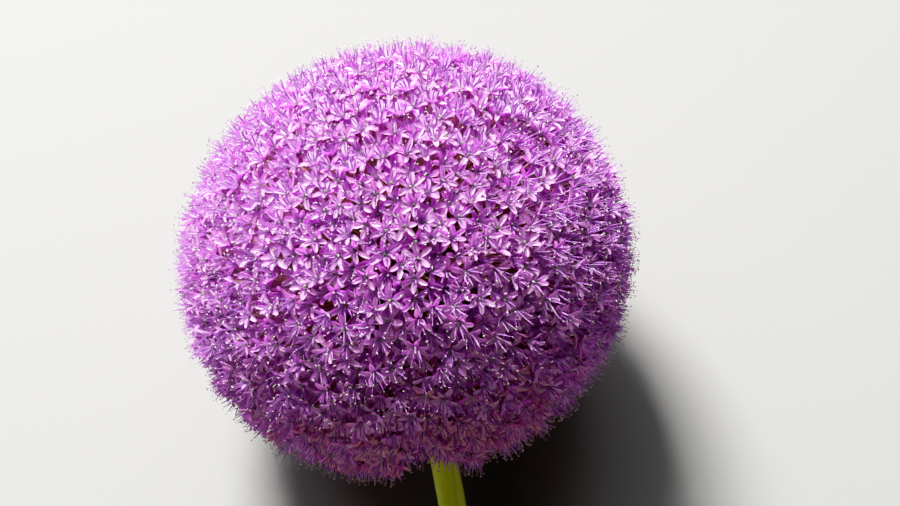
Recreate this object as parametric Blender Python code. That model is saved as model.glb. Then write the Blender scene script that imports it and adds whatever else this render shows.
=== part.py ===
"""An allium flower head, picked with a short stem and laid on a table.

The flower is modelled upright in its own frame, with its middle at the origin, its crown towards +Z and the
stem towards -Z. An empty then lays it down: the head rests on one floret that is pressed flat, and the stem
slopes down until the rim of its cut end touches the table at z = 0.
"""
import math
import random

import bmesh
import bpy
import numpy as np
from mathutils import Matrix, Vector

# The head: how far the stamen tips reach from its middle, as a slightly oval ball with a dimple at the stem
HEAD_REACH = 0.0730
HEAD_OVAL = 0.038
OVAL_TILT = math.radians(11.6)
DIMPLE_DEPTH = 0.09
DIMPLE_ANGLE = math.radians(17)
CORE_RADIUS = 0.0545
CORE_SUBDIVISIONS = 3

# The florets, larger than life so that so few of them cover the head
FLORETS = 116
LEVELS = 4
LEVEL_STEP = 0.0026
LEAN = math.radians(7)
PETALS = 6
THROAT_RADIUS = 0.0016
PETAL_WIDEST_AT = 0.0098
PETAL_HALF_WIDTH = 0.0034
PETAL_TIP_AT = 0.0152
PETAL_RISE = 0.0012
PETAL_TIP_RISE = 0.4
PETAL_KEEL = 0.0014
STAMEN_HEIGHT = 0.0072
STAMEN_LEAST = 0.0012
STAMEN_SPREAD = 0.0052
PEDICEL_RADIUS = 0.0011
CUP_DEPTH = 0.0018
ROOT_DEPTH = 0.0040

# The stem, and how the flower lies
STEM_RADIUS_TOP = 0.0042
STEM_RADIUS_CUT = 0.0047
STEM_SIDES = 32
STEM_TOP = 0.012
STEM_SLOPE = math.radians(27)
REST_HEIGHT = 0.0675
TABLE_CLEARANCE = 0.0004
PART_GAP = 0.0003
SEED = 11

# How the florets are spread: relaxed by repulsion, in which the stem has a small share
RELAX_STEPS = 160
RELAX_STRIDE = 0.02
STEM_SHARE = 0.45
BESIDE_STEM = 0.033
NEIGHBOUR_SPACINGS = 1.5


def clear_scene():
    for old in list(bpy.data.objects):
        bpy.data.objects.remove(old)


def make_material(name, colour, roughness):
    material = bpy.data.materials.new(name)
    material.use_nodes = True
    shader = material.node_tree.nodes["Principled BSDF"]
    shader.inputs["Base Color"].default_value = (*colour, 1)
    shader.inputs["Roughness"].default_value = roughness
    shader.inputs["Metallic"].default_value = 0
    return material


def add_object(name, shape, material, parent=None):
    """A linked object whose mesh is the given bmesh, which is freed."""
    mesh = bpy.data.meshes.new(name)
    shape.to_mesh(mesh)
    shape.free()
    mesh.materials.append(material)
    made = bpy.data.objects.new(name, mesh)
    bpy.context.scene.collection.objects.link(made)
    made.parent = parent
    return made


def lying_rotation():
    """Turns the upright flower on its back, with the stem sloping down towards -Y."""
    return Matrix.Rotation(STEM_SLOPE - math.pi / 2, 4, "X")


def reach(direction):
    """How far the stamen tips reach from the middle of the head in this direction."""
    long_way = Vector((math.cos(OVAL_TILT), 0, math.sin(OVAL_TILT)))
    short_way = Vector((-math.sin(OVAL_TILT), 0, math.cos(OVAL_TILT)))
    oval = 1 + HEAD_OVAL * (direction.dot(long_way) ** 2 - direction.dot(short_way) ** 2)
    from_stem = direction.angle(Vector((0, 0, -1)))
    dimple = 1 - DIMPLE_DEPTH * math.exp(-((from_stem / DIMPLE_ANGLE) ** 2))
    return HEAD_REACH * oval * dimple


def ring_point(radius, angle, height):
    return (radius * math.cos(angle), radius * math.sin(angle), height)


def spread_directions(down):
    """Unit directions spaced evenly by repulsion, clear of the stem. The first is down, and stays there."""
    turn = Vector((0, 0, -1)).rotation_difference(down)
    golden = math.pi * (3 - math.sqrt(5))
    points = []
    for i in range(FLORETS):
        height = -1 + 2 * i / (FLORETS - 1)
        ring = math.sqrt(max(0.0, 1 - height * height))
        points.append(turn @ Vector(ring_point(ring, golden * i, height)))
    points = np.array(points)
    stem = np.array((0.0, 0.0, -1.0))
    for step in range(RELAX_STEPS):
        apart = points[:, None] - points[None]
        distance = np.linalg.norm(apart, axis=2) + np.eye(FLORETS)
        push = (apart / distance[..., None] ** 4).sum(axis=1)
        off_stem = points - stem
        push += STEM_SHARE * off_stem / np.linalg.norm(off_stem, axis=1, keepdims=True) ** 4
        push -= (push * points).sum(axis=1, keepdims=True) * points
        stride = RELAX_STRIDE * (1 - step / RELAX_STEPS)
        push *= stride / np.maximum(np.linalg.norm(push, axis=1, keepdims=True), 1e-9)
        points[1:] += push[1:]
        points /= np.linalg.norm(points, axis=1, keepdims=True)
    return [Vector(point) for point in points]


def choose_levels(directions):
    """A depth level for each floret, the one its near neighbours use least, so that petals can overlap."""
    levels = []
    near = NEIGHBOUR_SPACINGS * math.sqrt(4 * math.pi / FLORETS)
    for i, direction in enumerate(directions):
        crowding = [0.0] * LEVELS
        for j in range(i):
            angle = direction.angle(directions[j])
            if angle < near:
                crowding[levels[j]] += 1 / angle
        levels.append(crowding.index(min(crowding)))
    return levels


def floret_shape(stalk, stamen_height):
    """One closed floret facing +Z, its throat at the origin: six keeled petals, six stamens, and a pedicel
    that reaches down by stalk. With no stamen height it is flat, as is the one that the head lies on."""
    shape = bmesh.new()
    step = 2 * math.pi / PETALS
    rise = PETAL_RISE if stamen_height else 0
    throat = [shape.verts.new(ring_point(THROAT_RADIUS, i * step, 0)) for i in range(PETALS)]
    middle = shape.verts.new((0, 0, 0))
    cup = [shape.verts.new(ring_point(PEDICEL_RADIUS, (2 * i + 1) * step, -CUP_DEPTH)) for i in range(3)]
    root = [shape.verts.new(ring_point(PEDICEL_RADIUS, (2 * i + 1) * step, -stalk)) for i in range(3)]
    half_angle = math.atan2(PETAL_HALF_WIDTH, PETAL_WIDEST_AT)
    widest = math.hypot(PETAL_HALF_WIDTH, PETAL_WIDEST_AT)
    for i in range(PETALS):
        axis = (i + 0.5) * step
        start, end = throat[i], throat[(i + 1) % PETALS]
        right = shape.verts.new(ring_point(widest, axis - half_angle, rise))
        left = shape.verts.new(ring_point(widest, axis + half_angle, rise))
        tip = shape.verts.new(ring_point(PETAL_TIP_AT, axis, rise * PETAL_TIP_RISE))
        keel = shape.verts.new(ring_point(PETAL_WIDEST_AT, axis, rise - PETAL_KEEL))
        under = cup[i // 2]
        for corners in (
            (start, right, end), (right, left, end), (right, tip, left),
            (start, keel, right), (right, keel, tip), (tip, keel, left), (left, keel, end),
            (start, under, keel), (keel, under, end),
        ):
            shape.faces.new(corners)
        if stamen_height:
            stamen = shape.verts.new(ring_point(STAMEN_SPREAD, axis, stamen_height))
            for corners in ((middle, start, stamen), (start, end, stamen), (end, middle, stamen)):
                shape.faces.new(corners)
        else:
            shape.faces.new((middle, start, end))
    for i in range(3):
        after = (i + 1) % 3
        shape.faces.new((throat[2 * after], cup[after], cup[i]))
        shape.faces.new((cup[i], cup[after], root[after], root[i]))
    shape.faces.new(root[::-1])
    bmesh.ops.recalc_face_normals(shape, faces=shape.faces[:])
    return shape


def facing(direction, roll, lean_way=0.0, lean=0.0):
    """A rotation that turns +Z to face direction, leaned a little, after a roll about its own axis."""
    turn = Vector((0, 0, 1)).rotation_difference(direction).to_matrix().to_4x4()
    tip = Matrix.Rotation(lean, 4, Vector((math.cos(lean_way), math.sin(lean_way), 0)))
    return turn @ tip @ Matrix.Rotation(roll, 4, "Z")


def roll_past_stem(direction):
    """The roll that lets the stem pass midway between two petals of a floret facing direction."""
    unrolled = facing(direction, 0).inverted()
    towards_stem = unrolled.to_3x3() @ Vector((0, 0, -1))
    return math.atan2(towards_stem.y, towards_stem.x)


def lowered_to_clear(direction, place, down):
    """The place, pushed in until its petals clear the table, and the stamen height that clears it too."""
    room = REST_HEIGHT - TABLE_CLEARANCE
    downward = direction.dot(down)
    if downward <= 0:
        return place, STAMEN_HEIGHT
    tips = [Vector(ring_point(PETAL_TIP_AT, (i + 0.5) * 2 * math.pi / PETALS, 0)) for i in range(PETALS)]
    excess = max((place @ tip).dot(down) for tip in tips) + PETAL_RISE - room
    if excess > 0:
        place = Matrix.Translation(-direction * excess / downward) @ place
    facing_down = (place.to_3x3() @ Vector((0, 0, 1))).dot(down)
    spread_down = STAMEN_SPREAD * math.sqrt(max(0.0, 1 - facing_down ** 2))
    free = room - place.translation.dot(down) - spread_down
    if free >= STAMEN_HEIGHT * facing_down:
        return place, STAMEN_HEIGHT
    return place, max(STAMEN_LEAST, free / facing_down)


def make_florets(material, down):
    """The florets as separate objects, in a collection of their own, to be joined to the core."""
    draw = random.Random(SEED)
    group = bpy.data.collections.new("floret_repeats")
    bpy.context.scene.collection.children.link(group)
    directions = spread_directions(down)
    levels = choose_levels(directions)
    for i, direction in enumerate(directions):
        roll = draw.uniform(0, 2 * math.pi)
        lean_way = draw.uniform(0, 2 * math.pi)
        lean = draw.uniform(0, LEAN)
        side_distance = reach(direction) * math.sin(direction.angle(Vector((0, 0, -1))))
        beside_stem = direction.z < 0 and side_distance < BESIDE_STEM
        if beside_stem:
            roll, lean = roll_past_stem(direction), 0.0
        if i == 0:
            place, stamens = Matrix.Translation(direction * REST_HEIGHT) @ facing(direction, 0), 0.0
        else:
            distance = reach(direction) - STAMEN_HEIGHT - levels[i] * LEVEL_STEP
            place = Matrix.Translation(direction * distance) @ facing(direction, roll, lean_way, lean)
            place, stamens = lowered_to_clear(direction, place, down)
        shape = floret_shape(place.translation.length - CORE_RADIUS + ROOT_DEPTH, stamens)
        floret = add_object(f"floret_{i:03d}", shape, material)
        floret.matrix_world = place
        bpy.context.scene.collection.objects.unlink(floret)
        group.objects.link(floret)
    return group


def make_cone(name, low, high, low_radius, high_radius, material):
    """A tapered round bar along Z between two heights."""
    shape = bmesh.new()
    bmesh.ops.create_cone(
        shape, cap_ends=True, segments=STEM_SIDES, radius1=low_radius, radius2=high_radius, depth=high - low
    )
    bmesh.ops.translate(shape, verts=shape.verts, vec=(0, 0, (low + high) / 2))
    bmesh.ops.recalc_face_normals(shape, faces=shape.faces[:])
    return add_object(name, shape, material)


def stem_length():
    """From the middle of the head to the cut end, whose rim then touches the table."""
    return (REST_HEIGHT - STEM_RADIUS_CUT * math.cos(STEM_SLOPE)) / math.sin(STEM_SLOPE)


def make_stem():
    material = make_material("scape_green", (0.24, 0.27, 0.08), 0.55)
    stem = make_cone("stem", -stem_length(), -STEM_TOP, STEM_RADIUS_CUT, STEM_RADIUS_TOP, material)
    stem.data.shade_smooth()
    stem.data.set_sharp_from_angle(angle=math.radians(40))
    return stem


def apply_modifier(target, modifier):
    with bpy.context.temp_override(object=target, active_object=target, selected_objects=[target]):
        bpy.ops.object.modifier_apply(modifier=modifier.name)


def make_core(material):
    """The ball that stands for the packed pedicels, with a socket for the stem."""
    shape = bmesh.new()
    bmesh.ops.create_icosphere(shape, subdivisions=CORE_SUBDIVISIONS, radius=CORE_RADIUS)
    core = add_object("flower_head", shape, material)
    cutter = make_cone(
        "stem_socket_cutter", -stem_length(), -STEM_TOP + PART_GAP,
        STEM_RADIUS_CUT + PART_GAP, STEM_RADIUS_TOP + PART_GAP, material,
    )
    socket = core.modifiers.new("stem_socket", "BOOLEAN")
    socket.operation = "DIFFERENCE"
    socket.object = cutter
    socket.solver = "EXACT"
    apply_modifier(core, socket)
    bpy.data.objects.remove(cutter)
    return core


def make_head(down):
    """The core with every floret joined to it as one solid."""
    material = make_material("floret_purple", (0.36, 0.09, 0.42), 0.5)
    head = make_core(material)
    group = make_florets(material, down)
    join = head.modifiers.new("join_florets", "BOOLEAN")
    join.operation = "UNION"
    join.operand_type = "COLLECTION"
    join.collection = group
    join.solver = "MANIFOLD"
    apply_modifier(head, join)
    for floret in list(group.objects):
        bpy.data.objects.remove(floret)
    bpy.data.collections.remove(group)
    return head


def lay_down(pieces):
    """Lays the flower on the table and puts the bottom centre of its box at the origin."""
    lying = bpy.data.objects.new("lying", None)
    bpy.context.scene.collection.objects.link(lying)
    lying.matrix_world = Matrix.Translation((0, 0, REST_HEIGHT)) @ lying_rotation()
    for piece in pieces:
        piece.parent = lying
    bpy.context.view_layer.update()
    corners = [piece.matrix_world @ vertex.co for piece in pieces for vertex in piece.data.vertices]
    low_x, high_x = min(c.x for c in corners), max(c.x for c in corners)
    low_y, high_y = min(c.y for c in corners), max(c.y for c in corners)
    lying.location.x -= (low_x + high_x) / 2
    lying.location.y -= (low_y + high_y) / 2


def main():
    clear_scene()
    down = lying_rotation().inverted().to_3x3() @ Vector((0, 0, -1))
    lay_down([make_head(down), make_stem()])


main()
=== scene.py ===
"""The looks of the allium flower head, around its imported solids.

Everything on the flower is built in the flower's own upright frame, with the middle of the head
at the origin, the crown towards +Z and the stem towards -Z, and is then laid on the table as the
solids are. Lengths are in metres. The dimensions that several parts share come first, and each
section starts with its own. A value whose name ends in RANGE is what another is drawn from, evenly:
for lengths, widths, sizes and leans it holds shares.
"""
import math

import bpy
import numpy as np
from mathutils import Matrix, Vector


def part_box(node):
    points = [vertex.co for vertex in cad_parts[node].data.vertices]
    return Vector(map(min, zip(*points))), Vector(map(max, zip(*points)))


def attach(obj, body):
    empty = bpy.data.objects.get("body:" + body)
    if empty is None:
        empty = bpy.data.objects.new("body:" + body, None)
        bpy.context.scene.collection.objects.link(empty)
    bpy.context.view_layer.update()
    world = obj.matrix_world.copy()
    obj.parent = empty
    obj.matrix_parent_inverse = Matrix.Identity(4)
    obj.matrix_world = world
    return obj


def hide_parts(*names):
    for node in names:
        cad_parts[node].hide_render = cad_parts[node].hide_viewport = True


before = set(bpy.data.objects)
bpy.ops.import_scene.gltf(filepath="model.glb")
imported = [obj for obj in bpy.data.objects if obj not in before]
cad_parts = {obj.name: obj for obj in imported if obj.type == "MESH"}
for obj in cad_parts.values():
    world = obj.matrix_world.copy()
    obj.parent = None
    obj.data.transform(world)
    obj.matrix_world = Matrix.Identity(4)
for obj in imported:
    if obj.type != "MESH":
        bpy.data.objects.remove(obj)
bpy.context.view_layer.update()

SEED = 5

# The flower's form. The head's reach is to the stamens' tips, and its groove is beside the stem.
HEAD_REACH = 0.0757
HEAD_OVAL = 0.027
OVAL_TILT = math.radians(11.6)
FLATTENING = 0.02
GROOVE_DEPTH = 0.22
GROOVE_HALF_WIDTH = math.radians(5.5)
GROOVE_STRETCH = 3.0
GROOVE_BESIDE_STEM = math.radians(5)
STEM_RADIUS_TOP = 0.0042
STEM_RADIUS_CUT = 0.0047
STEM_TOP = 0.006
STEM_SLOPE = math.radians(27)
REST_HEIGHT = 0.0675
KNOB_RADIUS = 0.0095

# The florets. Their spacing is the angle between neighbours, seen from the middle of the head.
FLORETS = 2100
SPACING = math.sqrt(4 * math.pi / FLORETS)
LEVELS = 5
PETALS = 6
FILAMENT_LENGTH = 0.0069

# Clearances, and how what is low is pressed flat on the table
STEM_GAP = 0.0004
TABLE_GAP = 0.00012
PRESSED_BELOW = 0.0085
LOWEST_TIP = -0.0063
PRESS_POWER = 1.35

# Tones. Every petal, stamen and so on takes one band of its piece's map, and the band is its tone.
# The last tones of petals are browner ones, painted shade near the stem, and the first tones of pedicels
# are brown ones.
TONES = 24
PLAIN_TONES = 18
BROWN_TONES = 4
BAND_FILL = 0.9
BAND_MARGIN = 0.02
FULL_MARGIN = 0.01
MAP_NAME = "OFBake"
SHARP_ANGLE = math.radians(75)


def unit(vectors):
    return vectors / np.maximum(np.linalg.norm(vectors, axis=-1, keepdims=True), 1e-12)


def any_way_across(ways, draw):
    """A random unit vector square to each way."""
    return unit(np.cross(ways, unit(draw.normal(size=ways.shape))))


def steps_summed(steps):
    """Running totals along each row, which start at zero."""
    start = np.zeros((len(steps), 1))
    return np.concatenate((start, np.cumsum(steps, axis=1)), axis=1)


def halfway(along):
    return (along[:, 1:] + along[:, :-1]) / 2


def round_angles(sides):
    return np.arange(sides) * 2 * math.pi / sides


# ---------------------------------------------------------------- the flower's frame

def flower_middle():
    """The middle of the head, worked out from where the stem's solid lies."""
    low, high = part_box("stem")
    length = stem_length()
    back = length * math.cos(STEM_SLOPE) + STEM_RADIUS_CUT * math.sin(STEM_SLOPE)
    return np.array(((low[0] + high[0]) / 2, low[1] + back, REST_HEIGHT))


def stem_length():
    """From the middle of the head to the cut, whose rim is on the table."""
    return (REST_HEIGHT - STEM_RADIUS_CUT * math.cos(STEM_SLOPE)) / math.sin(STEM_SLOPE)


def across_way():
    return np.array((1.0, 0.0, 0.0))


def crown_way():
    return np.array((0, math.cos(STEM_SLOPE), math.sin(STEM_SLOPE)))


def front_way():
    return np.array((0, -math.sin(STEM_SLOPE), math.cos(STEM_SLOPE)))


def laid_down(points):
    """Upright points as they lie on the table, with what would dip into it pressed flat."""
    turn = np.stack((across_way(), -front_way(), crown_way()))
    laid = points @ turn + flower_middle()
    low = laid[:, 2] < PRESSED_BELOW
    share = (laid[low, 2] - LOWEST_TIP) / (PRESSED_BELOW - LOWEST_TIP)
    laid[low, 2] = TABLE_GAP + (PRESSED_BELOW - TABLE_GAP) * np.clip(share, 0, 1) ** PRESS_POWER
    return laid


def past_stem(points):
    """Upright points, with those that would lie in the stem moved out to its skin."""
    radius = np.hypot(points[:, 0], points[:, 1])
    share = np.clip(-points[:, 2] / stem_length(), 0, 1)
    room = STEM_RADIUS_TOP + (STEM_RADIUS_CUT - STEM_RADIUS_TOP) * share + STEM_GAP
    inside = (points[:, 2] < -STEM_TOP) & (radius < room)
    moved = points.copy()
    moved[inside, :2] *= (room[inside] / np.maximum(radius[inside], 1e-6))[:, None]
    return moved


def reach(directions):
    """How far the stamens' tips reach from the middle of the head in each direction."""
    long_way = np.array((math.cos(OVAL_TILT), 0, math.sin(OVAL_TILT)))
    short_way = np.array((-math.sin(OVAL_TILT), 0, math.cos(OVAL_TILT)))
    oval = 1 + HEAD_OVAL * ((directions @ long_way) ** 2 - (directions @ short_way) ** 2)
    across = directions[:, 0] + math.sin(GROOVE_BESIDE_STEM)
    from_groove = np.hypot(across, directions[:, 1] / GROOVE_STRETCH) / math.sin(GROOVE_HALF_WIDTH)
    groove = 1 - GROOVE_DEPTH * np.exp(-(from_groove ** 2)) * (directions[:, 2] < 0)
    return HEAD_REACH * oval * groove * (1 - FLATTENING * directions[:, 1] ** 2)


# ---------------------------------------------------------------- meshes and their maps

def make_mesh(name, points, faces, places):
    """A smooth mesh. faces lists arrays with 3 or more columns, and places has a map place per point."""
    loops = np.concatenate([part.ravel() for part in faces]).astype(np.int32)
    counts = np.concatenate([np.full(len(part), part.shape[1]) for part in faces])
    mesh = bpy.data.meshes.new(name)
    mesh.vertices.add(len(points))
    mesh.vertices.foreach_set("co", points.astype(np.float32).ravel())
    mesh.loops.add(len(loops))
    mesh.loops.foreach_set("vertex_index", loops)
    mesh.polygons.add(len(counts))
    mesh.polygons.foreach_set("loop_start", (np.cumsum(counts) - counts).astype(np.int32))
    mesh.update(calc_edges=True)
    layer = mesh.uv_layers.new(name=MAP_NAME)
    layer.uv.foreach_set("vector", places[loops].astype(np.float32).ravel())
    mesh.shade_smooth()
    mesh.set_sharp_from_angle(angle=SHARP_ANGLE)
    return mesh


def make_piece(name, points, faces, places, material, replaced):
    """A piece from upright points, laid down on the table."""
    mesh = make_mesh(name, laid_down(points), faces, places)
    mesh.materials.append(material)
    piece = bpy.data.objects.new(name, mesh)
    bpy.context.scene.collection.objects.link(piece)
    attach(piece, "root")
    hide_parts(replaced)


def make_head_piece(name, points, faces, places, material):
    """A piece of the head, from arrays of any depth, that keeps clear of the stem."""
    points = past_stem(points.reshape(-1, 3))
    make_piece(name, points, faces, places.reshape(-1, 2), material, "flower_head")


def repeated(template, copies, stride):
    """Faces of many copies of one template, whose copies are stride points apart."""
    shift = (np.arange(copies) * stride)[:, None, None]
    return (template[None] + shift).reshape(-1, template.shape[1])


def band_places(tones, across, along):
    """Map places in each tone's own band, with across (-1 to 1) sideways and along (0 to 1) upwards."""
    u = (tones + 0.5 + 0.5 * BAND_FILL * across) / TONES
    v = BAND_MARGIN + (1 - 2 * BAND_MARGIN) * along + 0 * u
    return np.stack((u + 0 * v, v), axis=-1)


def full_places(along, sides):
    """Map places for one tube that has the map to itself: u goes round it, and v along it."""
    span = 1 - 2 * FULL_MARGIN
    u = FULL_MARGIN + span * (np.arange(sides) / sides)[None] + 0 * along[:, None]
    v = FULL_MARGIN + span * along[:, None] + 0 * u
    return np.stack((u, v), axis=-1).reshape(-1, 2)


# ---------------------------------------------------------------- the florets' places

# Spreading the florets out. The stride and both reaches are counted in spacings.
RELAX_STEPS = 45
RELAX_STRIDE = 0.5
RELAX_REACH = 3.5
LEVEL_REACH = 2.1
STEM_ROOM = math.radians(6.3)

# How deep each floret sits and how far it leans, its size, and how far it is shut
LEVEL_STEP = 0.0012
LEVEL_JITTER = 0.0007
ANTHER_ROOM = 0.0006
TILT = math.radians(28)
TILT_POWER = 0.7
FLORET_SIZE_RANGE = (0.93, 1.07)
DEEP_GROWTH = 0.26
HALF_SHUT_SHARE = 0.05
HALF_SHUT_RANGE = (0.3, 0.5)
OPEN_RANGE = (0.0, 0.38)

# How its tone is picked. Browner ones, painted shade, are within an angle of the stem, and thin out
# towards its end.
SHADE_BROWN_WITHIN = math.radians(57)
SHADE_BROWN_FADE = math.radians(30)
SHADE_BROWN_CHANCE_MOST = 0.95
# The deeper a floret sits the richer and darker its tone, and the nearer the front the paler: painted
# shade and painted light by depth
SHADE_BY_DEPTH = 0.5
RICH_BY_CHANCE = 0.6


def spread_directions(draw):
    """Unit directions spaced by repulsion from a random start, clear of the stem."""
    points = unit(draw.normal(size=(FLORETS, 3)))
    for step in range(RELAX_STEPS):
        near = np.clip(points @ points.T, -1, 1)
        gap = np.sqrt(np.maximum(2 - 2 * near, 1e-9))
        weight = np.where(gap < RELAX_REACH * SPACING, 1 / gap ** 4, 0)
        np.fill_diagonal(weight, 0)
        push = weight.sum(axis=1, keepdims=True) * points - weight @ points
        push -= (push * points).sum(axis=1, keepdims=True) * points
        strength = np.maximum(np.linalg.norm(push, axis=1, keepdims=True), 1e-9)
        stride = RELAX_STRIDE * SPACING * (1 - step / RELAX_STEPS)
        points = clear_of_stem(unit(points + stride * push / strength))
    return points


def clear_of_stem(points):
    """Unit directions, with those that crowd the stem moved out round it."""
    stem = np.array((0.0, 0.0, -1.0))
    crowding = np.arccos(np.clip(points @ stem, -1, 1)) < STEM_ROOM
    sideways = unit(points[crowding] * (1, 1, 0))
    points[crowding] = math.sin(STEM_ROOM) * sideways + math.cos(STEM_ROOM) * stem
    return points


def choose_levels(directions, draw):
    """A depth level for each floret, the one its near neighbours use least."""
    closeness = directions @ directions.T
    levels = np.full(FLORETS, -1)
    for i in draw.permutation(FLORETS):
        near = closeness[i] > math.cos(LEVEL_REACH * SPACING)
        around = np.nonzero(near & (levels >= 0))[0]
        angle = np.arccos(np.clip(closeness[i, around], -1, 1))
        crowding = np.zeros(LEVELS)
        np.add.at(crowding, levels[around], 1 / np.maximum(angle, 1e-3) ** 2)
        levels[i] = int(np.argmin(crowding + draw.uniform(0, 1, LEVELS)))
    return levels


def pick_tones(directions, levels, draw):
    """Each floret's tone: the deeper it sits the richer and darker, as painted shade, and near the stem
    mostly a browner one, also painted shade.
    """
    from_stem = np.arccos(np.clip(-directions[:, 2], -1, 1))
    chance = np.clip((SHADE_BROWN_WITHIN - from_stem) / SHADE_BROWN_FADE, 0, SHADE_BROWN_CHANCE_MOST)
    shade_brown = draw.uniform(0, 1, FLORETS) < chance
    # Richer and darker with depth: painted shade of the deep florets, on top of richness drawn at random
    richness_and_shade = SHADE_BY_DEPTH * levels / LEVELS + draw.uniform(0, RICH_BY_CHANCE, FLORETS)
    plain = np.minimum((richness_and_shade * PLAIN_TONES).astype(int), PLAIN_TONES - 1)
    return np.where(shade_brown, draw.integers(PLAIN_TONES, TONES, FLORETS), plain)


def place_florets(draw):
    """Each floret's throat and own axes, its size and tone, and how far it is shut (0 to 1)."""
    directions = spread_directions(draw)
    levels = choose_levels(directions, draw)
    depth = levels * LEVEL_STEP + draw.uniform(-1, 1, FLORETS) * LEVEL_JITTER
    distance = reach(directions) - FILAMENT_LENGTH - ANTHER_ROOM - np.maximum(depth, 0)
    lean = any_way_across(directions, draw)
    amount = TILT * draw.uniform(0, 1, FLORETS) ** TILT_POWER
    facing = unit(directions + np.tan(amount)[:, None] * lean)
    side = any_way_across(facing, draw)
    half_shut = draw.uniform(0, 1, FLORETS) > 1 - HALF_SHUT_SHARE
    size = draw.uniform(*FLORET_SIZE_RANGE, FLORETS) * (1 + DEEP_GROWTH * levels / LEVELS)
    if_half_shut = draw.uniform(*HALF_SHUT_RANGE, FLORETS)
    if_open = draw.uniform(*OPEN_RANGE, FLORETS)
    return {
        "direction": directions,
        "at": directions * distance[:, None],
        "facing": facing,
        "side": side,
        "up": np.cross(facing, side),
        "size": size,
        "shut": np.where(half_shut, if_half_shut, if_open),
        "tone": pick_tones(directions, levels, draw),
    }


def onto_head(florets, local, owner):
    """Points moved from their own florets' frames, where z is outwards, to the flower's."""
    shape = (len(owner),) + (1,) * (local.ndim - 2) + (3,)
    result = florets["at"][owner].reshape(shape)
    for i, way in enumerate(("side", "up", "facing")):
        result = result + local[..., i:i + 1] * florets[way][owner].reshape(shape)
    return result


def turned(local, angle):
    """Local points turned about z by an angle for each first index."""
    angle = angle.reshape((-1,) + (1,) * (local.ndim - 2))
    x, y = local[..., 0], local[..., 1]
    cos, sin = np.cos(angle), np.sin(angle)
    return np.stack((x * cos - y * sin, x * sin + y * cos, local[..., 2]), axis=-1)


def six_each():
    """For petals or stamens, six to a floret: each one's floret, number there and even angle."""
    owner = np.repeat(np.arange(FLORETS), PETALS)
    number = np.tile(np.arange(PETALS), FLORETS)
    return owner, number, number * 2 * math.pi / PETALS


# ---------------------------------------------------------------- petals

THROAT = 0.00045
PETAL_LENGTH = 0.0047
PETAL_LENGTH_RANGE = (0.90, 1.08)
PETAL_HALF_WIDTH = 0.00091
PETAL_WIDTH_RANGE = (0.92, 1.08)
OUTER_WIDTH = 1.06
INNER_WIDTH = 0.94
SHUT_NARROWING = 0.25
PETAL_WIDEST_AT = 0.56
PETAL_ROOT_WIDTH = 0.38
PETAL_TURN_NOISE = math.radians(8)

# A petal's bends: it rises all along, is cupped near its root and curls back near its tip
SHUT_RISE = math.radians(76)
RISE_NOISE = math.radians(13)
CUP_RANGE = (math.radians(22), math.radians(42))
CUP_POWER = 1.6
CURL = math.radians(6)
CURL_NOISE = math.radians(19)
TWIST_NOISE = math.radians(12)

# A petal's section: a boat, with a keel under the midrib
PETAL_THICKNESS = 0.00020
EDGE_THICKNESS = 0.35
BOAT_AT_ROOT = 0.42
BOAT_GAIN = 0.18
KEEL_DEPTH = 0.10
KEEL_WIDTH = 0.3
TIP_LIFT = 0.00012

# Where a petal's points are, along it and across it. Its rows end in the tip, one point alone.
PETAL_ALONG = np.array((0.0, 0.22, 0.52, 0.86, 1.0))
PETAL_ACROSS = np.array((-1.0, -0.5, 0.0, 0.5, 1.0))
PETAL_ROWS = len(PETAL_ALONG) - 1


def petal_width(along):
    """A petal's half width along its length, as a share of its greatest."""
    low = np.clip(along / PETAL_WIDEST_AT, 0, 1)
    high = np.clip((along - PETAL_WIDEST_AT) / (1 - PETAL_WIDEST_AT), 0, 1)
    return (PETAL_ROOT_WIDTH + (1 - PETAL_ROOT_WIDTH) * low * (2 - low)) * np.sqrt(1 - high ** 2)


def petal_template():
    """Faces of one closed petal: five points across each row and one under it, and then the tip."""
    edge = len(PETAL_ACROSS) - 1
    under = edge + 1
    row = under + 1
    tip = PETAL_ROWS * row
    last = tip - row
    # These two faces close the root
    quads = [(0, 1, 2, under), (2, 3, edge, under)]
    for a in range(0, last, row):
        b = a + row
        for j in range(edge):
            quads.append((a + j, b + j, b + j + 1, a + j + 1))
        quads.append((a, a + under, b + under, b))
        quads.append((a + edge, b + edge, b + under, a + under))
    tris = [(last + j, tip, last + j + 1) for j in range(edge)]
    tris.append((last, last + under, tip))
    tris.append((last + edge, tip, last + under))
    return np.array(quads), np.array(tris), tip + 1


def petal_sizes(florets, owner, number, draw):
    """Columns of each petal's length and half width. Every second petal is of the outer whorl."""
    size = florets["size"][owner]
    length = PETAL_LENGTH * size * draw.uniform(*PETAL_LENGTH_RANGE, len(owner))
    half = PETAL_HALF_WIDTH * size * np.where(number % 2 == 0, OUTER_WIDTH, INNER_WIDTH)
    half = half * draw.uniform(*PETAL_WIDTH_RANGE, len(owner))
    half = half * (1 - SHUT_NARROWING * florets["shut"][owner])
    return length[:, None], half[:, None]


def petal_bends(shut, draw):
    """Columns of each petal's rise, cup, curl and twist, from the column of how far it is shut."""
    count = len(shut)
    rise = SHUT_RISE * shut + draw.normal(0, RISE_NOISE, count)[:, None]
    cup = draw.uniform(*CUP_RANGE, count)[:, None]
    curl = draw.normal(CURL, CURL_NOISE, count)[:, None] * (1 - shut)
    twist = draw.normal(0, TWIST_NOISE, count)[:, None] * (1 - shut)
    return rise, cup, curl, twist


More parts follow.
